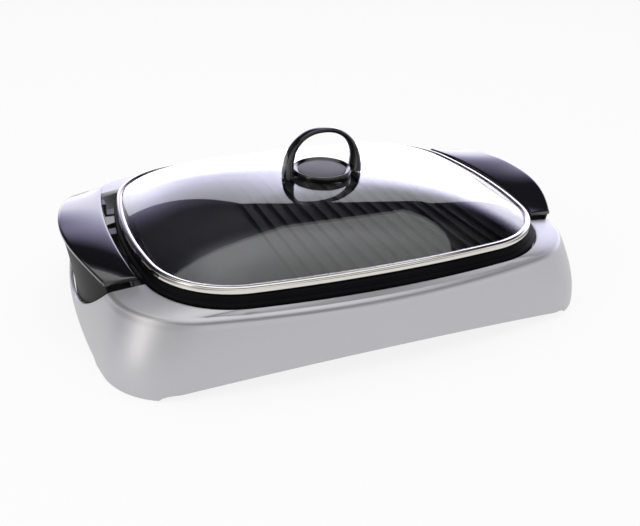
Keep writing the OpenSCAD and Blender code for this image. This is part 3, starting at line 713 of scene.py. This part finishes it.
# ---------------------------------------------------------------- lid

def lid_rim():
    """A rolled steel band swept round the glass."""
    z0, z1 = RIM_Z - RIM_H, RIM_Z
    profile = [(5.5, z1 - 0.8), (5.5, z1 - 0.15), (5.3, z1), (2.6, z1), (1.2, z1 - 0.2), (0.45, z1 - 0.8),
               (0.12, z1 - 1.6), (0.35, z1 - 2.3), (0.42, z1 - 3.4), (0.38, z0 + 2.4), (0.1, z0 + 1.7),
               (0.05, z0 + 1.0), (0.4, z0 + 0.3), (1.1, z0), (5.3, z0), (5.5, z0 + 0.15), (5.5, z0 + 0.8),
               (1.3, z0 + 0.8), (1.3, z1 - 0.8)]
    rim = skin("lid_rim_band", profile_rings(LID, profile, PLATE_Y), closed=True, sharp=50.0)
    dress(rim, RIM_STEEL, "lid", "rim_steel", "lid_rim")


def lid_glass():
    """The glass dome, with a hole for the knob's screw and its edge inside the rim."""
    dome = inset(LID, 5.6)
    edge_z = RIM_Z - 1.1

    def height(s):
        return edge_z + (GLASS_TOP - edge_z) * (1 - s ** 3)

    count = len(outline(dome))
    hole = []
    for i in range(count):
        g = 2 * math.pi * i / count
        hole.append((3 * math.cos(g), 3 * math.sin(g) + PLATE_Y))
    shares = [0.05 + 0.95 * math.sin(math.pi / 2 * i / 44) for i in range(45)]
    under = [[(x, y, height(0.0) - GLASS_T) for x, y in hole]]
    under += [ring(scaled_form(dome, s), height(s) - GLASS_T, PLATE_Y) for s in shares]
    edge = [(3.5, edge_z - GLASS_T - 0.15), (2.4, edge_z - GLASS_T + 0.4), (2.0, edge_z - 2.0),
            (2.4, edge_z - 0.4), (3.5, edge_z + 0.1)]
    over = [ring(scaled_form(dome, s), height(s), PLATE_Y) for s in reversed(shares)]
    over.append([(x, y, height(0.0)) for x, y in hole])
    glass = skin("lid_dome", under + profile_rings(LID, edge, PLATE_Y) + over, closed=True, sharp=60.0)
    dress(glass, GLASS, "lid", "clear_glass", "lid_glass")


def arch_point(g):
    """Outer edge of the knob loop, from its right foot over the top to its left foot."""
    c, k = math.cos(g), math.sin(g)
    return LOOP_W * math.copysign(abs(c) ** 0.9, c), LOOP_H * math.copysign(abs(k) ** 0.9, k)


def knob_loop():
    """The arched grip, thicker and deeper at its feet, and the bar that joins them."""
    # Half section of the loop: share from outer to inner face, and share of the half depth at it
    section = [(0.0, 0.5), (0.02, 0.72), (0.1, 0.9), (0.22, 0.98), (0.36, 1.0), (0.42, 0.93), (0.48, 0.92),
               (0.54, 0.98), (0.66, 0.96), (0.8, 0.86), (0.93, 0.72), (1.0, 0.5)]
    full = [(k, -y) for k, y in section] + [(1.02, 0.0)]
    full += [(k, y) for k, y in reversed(section)] + [(-0.02, 0.0)]
    thick, deep, most_swell, steps = 5, 11, 7, 120
    rings = []
    for i in range(steps + 1):
        g = math.pi * i / steps
        (x, z), (x0, z0), (x1, z1) = arch_point(g), arch_point(g - 0.01), arch_point(g + 0.01)
        nx, nz = unit2(z0 - z1, x1 - x0)
        swell = most_swell * max(0.0, 1 - z / 50.8) ** 1.5
        t, half = thick + swell, (deep + swell) / 2
        rings.append([(x + nx * t * k, PLATE_Y + y * half, LOOP_Z + max(0.0, z) + nz * t * k) for k, y in full])
    loop = skin("knob_loop_arch", rings, sharp=38.0)
    bar = bevel(block("bar", (-39, PLATE_Y - 8, LOOP_Z), (39, PLATE_Y + 8, LOOP_Z + 2.2)), 0.6)
    loop = join("knob_loop_fine", [loop, bar], 38.0)
    dress(loop, PIANO, "lid", "gloss_black", "knob_loop")


def knob_dish():
    r = DISH_R
    dish = [(0.01, 0), (r - 4.6, 0), (r - 3.4, -0.5), (r - 3, -1.4), (r - 3, -2.7), (r - 2.8, -2.9),
            (r - 0.6, -2.9), (r - 0.2, -2.7), (r, -2.3), (r, 2.6), (r - 0.05, 3.3), (r - 0.35, 3.8),
            (r - 0.8, 4.1), (r - 1.4, 4.2), (r - 2.0, 4.1), (r - 2.6, 3.7), (r - 3.2, 3.0), (r - 4.2, 2.2),
            (r - 5.4, 1.9), (7, 1.9), (7, 2.6), (0.01, 2.6)]
    base = skin("knob_dish", place(revolve(dish, 128), 0, PLATE_Y, DISH_Z), sharp=50.0)
    base = cut(base, [block("cut_bar", (-40, PLATE_Y - 8.3, 120), (40, PLATE_Y + 8.3, DISH_Z))], 50.0)
    dress(base, PIANO, "lid", "gloss_black", "knob_base")
    r = CAP_R
    cap = [(0.01, 0.75), (7.4, 0.75), (7.4, 0), (r, 0), (r, 0.25), (r - 0.4, 0.5), (r - 1.2, 0.62),
           (r * 0.55, 1.05), (0.01, 1.35)]
    cap = skin("knob_dish_floor", place(revolve(cap, 128), 0, PLATE_Y, CAP_Z), sharp=50.0)
    dress(cap, CAP_GREY, "lid", "knob_floor", "knob_cap")


# ---------------------------------------------------------------- side handles

def edge_in(u):
    """x and height of a cover's inner edge; u runs from -1 at the front to 1 at the back."""
    x, more_x, z, more_z = EDGE_IN
    return x + more_x * (1 - u * u), z + more_z * (1 - u * u)


def edge_out(u):
    """x and height of a cover's outer edge."""
    x, more_x, z, more_z = EDGE_OUT
    return x + more_x * (1 - u * u), z + more_z * (1 - abs(u) ** 3)


def cover_top(u, t):
    """Height of a cover's top at station u, at a share t from its inner to its outer edge."""
    (_, zi), (_, zo) = edge_in(u), edge_out(u)
    return zi + (zo - zi) * t + HANDLE_CROWN * t * (1 - t)


def cover_low(u, x):
    """Height just under the cover at station u, at a distance x from the middle of the grill."""
    (xi, _), (xo, _) = edge_in(u), edge_out(u)
    return cover_top(u, max(0.0, x - xi) / (xo - xi)) - HANDLE_T - 0.2


def cover_section(u):
    """Section of a handle cover, from the inner lower edge over its top to the outer edge and back."""
    (xi, _), (xo, _) = edge_in(u), edge_out(u)

    def at(t, lift):
        y = HANDLE_Y + u * (HANDLE_HALF - HANDLE_TAPER * t)
        return xi + (xo - xi) * t, y, cover_top(u, t) + lift

    edge = 1.2 / (xo - xi)
    low = -HANDLE_T
    points = [at(0.0, low + 0.5), at(0.0, -1.1), at(0.25 * edge, -0.45), at(0.85 * edge, -0.05)]
    points += [at(0.06 + 0.88 * i / 14, 0.0) for i in range(15)]
    points += [at(1 - 0.85 * edge, -0.06), at(1 - 0.25 * edge, -0.5), at(1.0, -1.2), at(1.0, low + 0.6),
               at(1 - 0.3 * edge, low + 0.1)]
    points += [at(0.95 - 0.9 * i / 8, low) for i in range(9)] + [at(0.3 * edge, low + 0.05)]
    return points


def handle(side, name):
    steps = 72
    rings = [[(side * x, y, z) for x, y, z in cover_section(-1 + 2 * i / steps)] for i in range(steps + 1)]
    cover = skin("handle_cover_" + name + "_fine", rings, sharp=38.0)
    cover = bevel(cover, 0.7, 3, 60.0, 38.0)
    dress(cover, PIANO, "plate", "gloss_black", "handle_cover_" + name)


def recess_low(y, d=0.0):
    """Height of the round edge of the recess, or of an arc d further out."""
    return RECESS_ZC - math.sqrt((RECESS_R + d) ** 2 - (y - HANDLE_Y) ** 2)


def skirt_section(y):
    """Section of a skirt: it hangs from a ledge under the cover and laps behind the wall."""
    u = (y - HANDLE_Y) / (HANDLE_HALF - HANDLE_TAPER)
    x, knee = edge_out(u)[0] - 1.5, recess_low(y) + 1.5
    top, in_z = cover_low(u, x), cover_low(u, x - LEDGE)
    low, foot = recess_low(y, 8), side_x(wall_form(recess_low(y)), y) - 4.1

    def face(z):
        return foot + (x - foot) * max(0.0, (z - knee) / (top - knee)) ** 1.5

    outer = [knee + (top - knee) * i / 16 for i in range(17)]
    inner = [top - LEDGE_T + (knee - top + LEDGE_T) * i / 12 for i in range(13)]
    section = [(foot, low)] + [(face(z), z) for z in outer] + [(x - LEDGE, in_z), (x - LEDGE, in_z - LEDGE_T)]
    return section + [(face(z) - SKIRT_T, z) for z in inner] + [(foot - SKIRT_T, low)]


def handle_skirt(side, name):
    steps = 64
    rings = []
    for i in range(steps + 1):
        y = HANDLE_Y - SKIRT_HALF + 2 * SKIRT_HALF * i / steps
        rings.append([(side * x, y, z) for x, z in skirt_section(y)])
    skirt = skin("handle_skirt_" + name + "_fine", rings, sharp=40.0)
    if side > 0:
        # The opening for the plug-in control
        skirt = cut(skirt, [block("cut_door", (200, -31, 34), (300, 31, 79))], 40.0)
    skirt = bevel(skirt, 0.4, 2, 60.0, 40.0)
    dress(skirt, GREY, "plate", "dark_grey_plastic", "handle_skirt_" + name)


# ---------------------------------------------------------------- inside the base

def tray_and_reflector():
    tray = [(12.5, 0), (10.5, 0.25), (9, 1.1), (2.4, 16.2), (1.6, 17), (-2.4, 17), (-2.9, 17.2), (-3, 17.8),
            (-2.8, 18.4), (-2.4, 18.6), (2.6, 18.6), (3.6, 18.2), (4.2, 17.2), (10.0, 3.0), (11.2, 1.9), (13, 1.6)]
    tray = profile_rings(TRAY, [(d, TRAY_Z + z) for d, z in tray], PLATE_Y)
    dress(skin("drip_tray_fine", tray, sharp=50.0), ENAMEL, "tray", "tray_steel", "drip_tray")
    pan = [(8.5, 0), (7, 0.3), (6, 1), (0.4, 25.2), (-0.4, 26), (-3.8, 26), (-4, 26.5), (-3.8, 27), (0.2, 27),
           (1.0, 26.4), (6.6, 1.9), (7.6, 1.0), (9.2, 0.8)]
    pan = profile_rings(REFLECTOR, [(d, REFLECTOR_Z + z) for d, z in pan], PLATE_Y)
    dress(skin("heat_reflector_fine", pan, sharp=50.0), SHEET, "base", "reflector", "heat_reflector")


def arc_path(cx, cy, r, start, stop):
    """Points of an arc at the element's height; angles in degrees."""
    return [(x, y, TUBE_Z) for x, y in fillet(cx, cy, r, start, stop, 14)]


def heating_element():
    # The two ends run to the socket at x = end, leg from the middle, through a tighter bend
    leg, bend, bend_x, end = 11, 15, 185, 206
    x, r = ELEMENT_X, ELEMENT_BEND
    y1, y2 = PLATE_Y - ELEMENT_Y + r, PLATE_Y + ELEMENT_Y - r
    path = [(end, -leg, TUBE_Z)] + arc_path(bend_x, -leg - bend, bend, 90, 180) + arc_path(x, y1, r, 0, -90)
    path += arc_path(-x, y1, r, -90, -180) + arc_path(-x, y2, r, 180, 90)
    path += arc_path(x, y2, r, 90, 0) + arc_path(bend_x, leg + bend, bend, 180, 270) + [(end, leg, TUBE_Z)]
    edges = [(i, i + 1) for i in range(len(path) - 1)]
    tube = tube_tree("element_tube", TUBE_R, SHEATH).run("heating_element_fine", path, edges, 50.0)
    dress(tube, SHEATH, "plate", "element_sheath", "heating_element")


def screws():
    """Screws as head radius and height, shank radius and length, and the places of their heads."""
    corners = [(x, y, BASE_SCREW_Z) for x in (-BOSS_X, BOSS_X) for y in (-BOSS_Y, BOSS_Y)]
    rests = [(x, y, BASE_SCREW_Z) for x in (-60, 60) for y in (-170, 148)]
    clips = [(x, PLATE_Y + y + d, CLIP_SCREW_Z)
             for x in (-80, 80) for y in (-ELEMENT_Y, ELEMENT_Y) for d in (-8, 8)]
    brackets = []
    for y in STRAP_YS:
        # The two beside the socket hold its shroud as well, so they sit lower
        lower = 2.3 if abs(y) < 40 else 0
        brackets += [(boss_x(y), y, STRAP_SCREW_Z - lower), (-boss_x(y), y, STRAP_SCREW_Z)]
    for node, size, body, spots in (("cover_screws", (4, 2.6, 2, 18), "base", corners),
                                    ("rest_screws", (3, 1.8, 1.6, 5.4), "base", rests),
                                    ("clip_screws", (2.6, 1.8, 1.4, 5.2), "plate", clips),
                                    ("bracket_screws", (3.4, 2.2, 1.8, 10), "plate", brackets)):
        made = screw_tree(node, *size, ZINC).run(node + "_fine", spots, [], 30.0)
        dress(made, ZINC, body, "steel_hardware", node)


# ---------------------------------------------------------------- plug-in control

def rounded_box(name, low, high, r, width=0.5):
    (x0, y0, z0), (x1, y1, z1) = low, high
    points = []
    for cy, cz, start in ((y1 - r, z1 - r, 0), (y0 + r, z1 - r, 90), (y0 + r, z0 + r, 180), (y1 - r, z0 + r, 270)):
        for i in range(9):
            g = math.radians(start + 90 * i / 8)
            points.append((cy + r * math.cos(g), cz + r * math.sin(g)))
    rings = [[(x, y, z) for y, z in points] for x in (x0, x1)]
    return bevel(skin(name, rings), width, 3, 50.0)


def housing():
    shell = rounded_box("control_shell", (228, -CASE_Y, CASE_LOW), (258, CASE_Y, CASE_TOP), CASE_R)
    nose = rounded_box("control_nose", (213.4, -16.4, 54.8), (228.6, 16.4, 67.6), 2.5)
    body = join("control_housing_fine", [shell, nose])
    dress(body, MATTE_BLACK, "control", "black_plastic", "control_housing")
    cap = rounded_box("control_end_cap_fine", (258.3, -CASE_Y, CASE_LOW), (261.9, CASE_Y, CASE_TOP), CASE_R)
    dress(cap, MATTE_BLACK, "control", "black_plastic", "control_end_cap")


def dial():
    """The dial, fluted round its side, from its foot at the end cap to the middle of its face."""
    n = 4 * DIAL_FLUTES
    rings = []
    for x, r, depth in ((262.4, 12.6, 0), (262.4, 13.6, 0), (263.0, 14.0, 0), (264.2, 14.0, 0.1),
                        (264.8, 13.9, 0.8), (268.8, 13.5, 0.8), (269.8, 13.1, 0.4), (270.3, 12.4, 0),
                        (270.5, 11.4, 0), (270.2, 10.6, 0), (270.0, 9.6, 0), (270.0, 0.02, 0)):
        points = []
        for i in range(n):
            g = 2 * math.pi * i / n
            out = r - depth * (0.5 + 0.5 * math.cos(DIAL_FLUTES * g))
            points.append((x, out * math.cos(g), DIAL_Z + out * math.sin(g)))
        rings.append(points)
    dress(skin("control_dial_fine", rings, sharp=40.0), MATTE_BLACK, "dial", "black_plastic", "control_dial")
    pointer = block("dial_pointer", (269.7, -0.6, DIAL_Z + 3.5), (270.4, 0.6, DIAL_Z + 9.4))
    dress(bevel(pointer, 0.15), INK, "dial", "black_plastic")


def dial_scale():
    """Dots that grow clockwise round the dial; a dot off the end cap is left out."""
    dots = []
    for i in range(10):
        g = math.radians(90 - 30 * i)
        y, z = SCALE_R * math.cos(g), DIAL_Z + SCALE_R * math.sin(g)
        if CASE_LOW + 1.5 <= z <= CASE_TOP - 1.5:
            r = 0.5 + 0.07 * i
            dot = revolve([(r, 0.0), (r, 0.25), (0.01, 0.25)], 20)
            dots.append(skin("dot", along_x(dot, SCALE_X, y, z)))
    dress(join("dial_scale_dots", dots), INK, "control", "black_plastic")


def indicator():
    lens = revolve([(2.6, 0.0), (2.6, 4.6), (2.3, 5.4), (1.5, 5.9), (0.01, 6.0)], 40)
    lens = skin("indicator_lens_fine", along_x(lens, 257, 20, 66), sharp=45.0)
    dress(lens, LENS, "control", "lens_red", "indicator_lens")


# ---------------------------------------------------------------- build

base_shell()
cooking_plate()
lid_rim()
lid_glass()
knob_loop()
knob_dish()
handle(-1, "left")
handle(1, "right")
handle_skirt(-1, "left")
handle_skirt(1, "right")
tray_and_reflector()
heating_element()
screws()
housing()
dial()
dial_scale()
indicator()

# Pieces that keep their CAD mesh
for node_name, material in {
    "bottom_cover": MATTE_BLACK, "rubber_feet": RUBBER, "plate_rests": ZINC, "element_clips": ZINC,
    "terminal_beads": CERAMIC, "terminal_pins": ZINC, "socket_shroud": ZINC, "probe_sleeve": ZINC,
    "handle_brackets_left": STRAP, "handle_brackets_right": STRAP, "handle_screws": ZINC,
    "knob_seal": SILICONE, "knob_washer": ZINC, "knob_screw": ZINC, "control_probe": RIM_STEEL,
    "contact_sleeves": BRASS, "thermostat_switch": CERAMIC, "cord_gland": RUBBER,
}.items():
    paint_node(node_name, material)


# ---------------------------------------------------------------- floor, light, camera

# How much of the floor seen in the views glows by itself; the rest shows the object's shadow
FLOOR_GLOW = 0.86
# The floor's half size, and how far it lies under the feet, in metres
FLOOR_HALF = 9.0
FLOOR_DROP = 0.0002

# Tones that glass and mirrors see behind the object, from low to high
SKY = ((0.30, (0.87, 0.85, 1.0)), (0.34, (0.62, 0.60, 0.80)), (0.37, (0.42, 0.395, 0.58)),
       (0.39, (0.27, 0.25, 0.38)), (0.41, (0.175, 0.165, 0.25)), (0.43, (0.11, 0.10, 0.155)),
       (0.45, (0.055, 0.05, 0.078)), (0.48, (0.008, 0.007, 0.010)), (0.71, (0.004, 0.004, 0.005)),
       (0.76, (0.05, 0.05, 0.052)), (0.81, (0.20, 0.20, 0.21)), (0.90, (0.27, 0.27, 0.28)))


def floor_finish():
    """White under the object as seen, mirrored or looked through, with the object's shadow kept."""
    mat, tree, shader, output = new_finish("studio_floor")
    for label, value in (("Base Color", (0.9, 0.9, 0.9, 1)), ("Roughness", 0.9), ("Specular IOR Level", 0.0)):
        shader.inputs[label].default_value = value
    glow = add_node(tree, "ShaderNodeEmission", Strength=1.0)
    path = tree.nodes.new("ShaderNodeLightPath").outputs
    seen = add_math(tree, "ADD", path["Is Camera Ray"], path["Is Glossy Ray"])
    seen = add_math(tree, "ADD", seen, path["Is Transmission Ray"])
    share = add_math(tree, "MULTIPLY", seen, FLOOR_GLOW, clamp=True)
    mix = add_node(tree, "ShaderNodeMixShader", i0=share, i1=shader.outputs[0], i2=glow.outputs[0])
    tree.links.new(mix.outputs[0], output.inputs["Surface"])
    return mat


def floor():
    mesh = bpy.data.meshes.new("studio_floor")
    s, z = FLOOR_HALF, -FLOOR_DROP
    mesh.from_pydata([(-s, -s, z), (s, -s, z), (s, s, z), (-s, s, z)], [], [(0, 1, 2, 3)])
    obj = link(bpy.data.objects.new("studio_floor", mesh))
    mesh.materials.append(floor_finish())


def smooth_step(tree, value, start, end, low=0.0, high=1.0):
    """A socket that goes smoothly from low to high while value goes from start to end."""
    return add_node(tree, "ShaderNodeMapRange", {"interpolation_type": "SMOOTHSTEP"}, Value=value,
                    From_Min=start, From_Max=end, To_Min=low, To_Max=high).outputs["Result"]


def mirrored_world(tree):
    """What mirrors and glass see: the tones of SKY, tinted and stronger behind the object and to its right."""
    place_at = tree.nodes.new("ShaderNodeTexCoord").outputs["Generated"]
    way = add_node(tree, "ShaderNodeSeparateXYZ", Vector=place_at).outputs
    sky = add_node(tree, "ShaderNodeValToRGB", Fac=add_math(tree, "MULTIPLY_ADD", way["X"], -0.1, way["Z"]))
    ramp = sky.color_ramp.elements
    ramp[0].position, ramp[1].position = SKY[0][0], SKY[-1][0]
    for at, _ in SKY[1:-1]:
        ramp.new(at)
    for stop, (_, tone) in zip(ramp, SKY):
        stop.color = tone + (1,)
    sky = sky.outputs["Color"]
    behind = smooth_step(tree, way["Y"], -0.1, 0.5)
    across = smooth_step(tree, way["X"], -0.28, -0.05, 0.1, 3.2)
    level = add_node(tree, "ShaderNodeMix", Factor=behind, A=0.9, B=across).outputs["Result"]
    plain = add_node(tree, "ShaderNodeRGBToBW", Color=sky).outputs["Val"]
    tinted = add_node(tree, "ShaderNodeMix", {"data_type": "RGBA"}, Factor=behind, A=plain, B=sky)
    return add_node(tree, "ShaderNodeBackground", Color=tinted.outputs["Result"], Strength=level).outputs[0]


def world():
    """Even white light on the object, the studio in its mirrors and glass, and a plain backdrop."""
    w = bpy.data.worlds.new("studio")
    scene.world = w
    w.use_nodes = True
    tree = w.node_tree
    even = tree.nodes["Background"]
    even.inputs["Color"].default_value = (1, 1, 1, 1)
    even.inputs["Strength"].default_value = 0.55
    path = tree.nodes.new("ShaderNodeLightPath").outputs
    sharp = add_math(tree, "MAXIMUM", path["Is Glossy Ray"], path["Is Transmission Ray"])
    mix = add_node(tree, "ShaderNodeMixShader", i0=sharp, i1=even.outputs[0], i2=mirrored_world(tree))
    plain = add_node(tree, "ShaderNodeBackground", Strength=1.0)
    last = add_node(tree, "ShaderNodeMixShader", i0=path["Is Camera Ray"], i1=mix.outputs[0], i2=plain.outputs[0])
    tree.links.new(last.outputs[0], tree.nodes["World Output"].inputs["Surface"])


def panel_light(name, size, power, color):
    light = bpy.data.lights.new(name, "AREA")
    light.shape = "RECTANGLE"
    light.size, light.size_y = size
    light.energy = power
    light.color = color
    return link(bpy.data.objects.new(name, light))


def lamp(name, position, target, size, power, color=(1, 1, 1)):
    obj = panel_light(name, size, power, color)
    obj.location = position
    obj.rotation_euler = (Vector(target) - Vector(position)).to_track_quat("-Z", "Y").to_euler()


def glass_panel(glass):
    """A bright panel close behind the lid, its top edge tilted; it shows in the glass only."""
    corner, slope = Vector((-0.270, 0.300, 0.200)), math.radians(27.5)
    wide, tall, level = 0.834, 0.450, 2.4
    along = Vector((math.cos(slope), 0, math.sin(slope)))
    down = Vector((math.sin(slope), 0, -math.cos(slope)))
    turn = Matrix((-along, -down, Vector((0, 1, 0)))).transposed().to_4x4()
    obj = panel_light("glass_panel", (wide, tall), level * math.pi * wide * tall, (0.93, 0.94, 1.0))
    obj.matrix_world = Matrix.Translation(corner + along * wide / 2 + down * tall / 2) @ turn
    obj.visible_camera = False
    obj.visible_transmission = False
    lit = bpy.data.collections.new("lit_by_panel")
    lit.objects.link(glass)
    obj.light_linking.receiver_collection = lit


def camera():
    """From the front left, looking down, with a slight roll."""
    spot, forward = Vector((-0.3001, -0.7070, 0.4234)), Vector((0.35025, 0.80769, -0.47431)).normalized()
    roll = 0.0345
    level = forward.cross(Vector((0, 0, 1))).normalized()
    upright = level.cross(forward)
    right = level * math.cos(roll) + upright * math.sin(roll)
    turn = Matrix((right, right.cross(forward), -forward)).transposed().to_4x4()
    data = bpy.data.cameras.new("camera")
    data.sensor_width = 36.0
    data.lens = 42.10
    data.clip_start, data.clip_end = 0.05, 50.0
    obj = link(bpy.data.objects.new("camera", data))
    obj.matrix_world = Matrix.Translation(spot) @ turn
    scene.camera = obj


floor()
world()
lamp("softbox_left", (-1.5, -0.45, 0.45), (-0.2, -0.1, 0.05), size=(0.45, 1.5), power=4.5,
     color=(1.0, 0.95, 0.88))
lamp("softbox_top", (0.0, 0.0, 2.4), (0, 0, 0), size=(3.2, 3.2), power=30)
glass_panel(bpy.data.objects["lid_dome"])
camera()
scene.view_settings.view_transform = "Standard"
